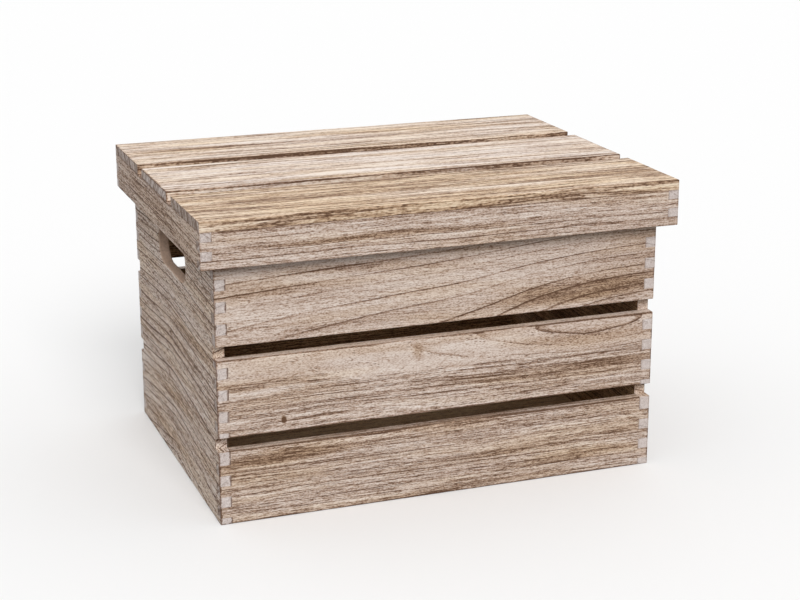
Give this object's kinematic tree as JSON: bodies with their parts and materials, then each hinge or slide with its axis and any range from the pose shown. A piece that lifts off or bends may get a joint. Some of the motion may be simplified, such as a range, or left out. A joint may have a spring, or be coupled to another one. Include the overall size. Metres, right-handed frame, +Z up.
{
  "type": "lidded slatted storage crate",
  "caption": "Rectangular wooden storage crate with slatted front and back, hand holes in its solid ends and a slatted lift-off lid.",
  "frame": {"origin": "on the ground, below the middle of the crate", "axes": "+X along the long side, towards the right end panel; +Y from the front wall to the back wall; +Z up"},
  "size_m": [0.38, 0.286, 0.237],
  "materials": {
    "slat_wood": "sanded light wood with a thin grey-white wash, matt",
    "end_panel_wood": "sanded light wood with a thin grey-white wash and dark open grain, matt",
    "lid_top_wood": "sanded and lightly scorched light wood, matt",
    "lid_rim_wood": "sanded light wood with a thin grey-white wash, matt",
    "bottom_wood": "thin sanded light wood panel, matt"
  },
  "bodies": {
    "crate": {"back_slat_bottom": "slat_wood", "back_slat_middle": "slat_wood", "back_slat_top": "slat_wood", "bottom_panel": "bottom_wood", "end_panel_left": "end_panel_wood", "end_panel_right": "end_panel_wood", "front_slat_bottom": "slat_wood", "front_slat_middle": "slat_wood", "front_slat_top": "slat_wood"},
    "lid": {"lid_end_rail_left": "lid_rim_wood", "lid_end_rail_right": "lid_rim_wood", "lid_rail_back": "lid_rim_wood", "lid_rail_front": "lid_rim_wood", "lid_slat_back": "lid_top_wood", "lid_slat_front": "lid_top_wood", "lid_slat_middle": "lid_top_wood"}
  },
  "joints": [
    {"name": "lid_lift", "type": "slide", "parent": "crate", "child": "lid", "axis": [0, 0, 1], "range_m": [0, 0.2]}
  ]
}
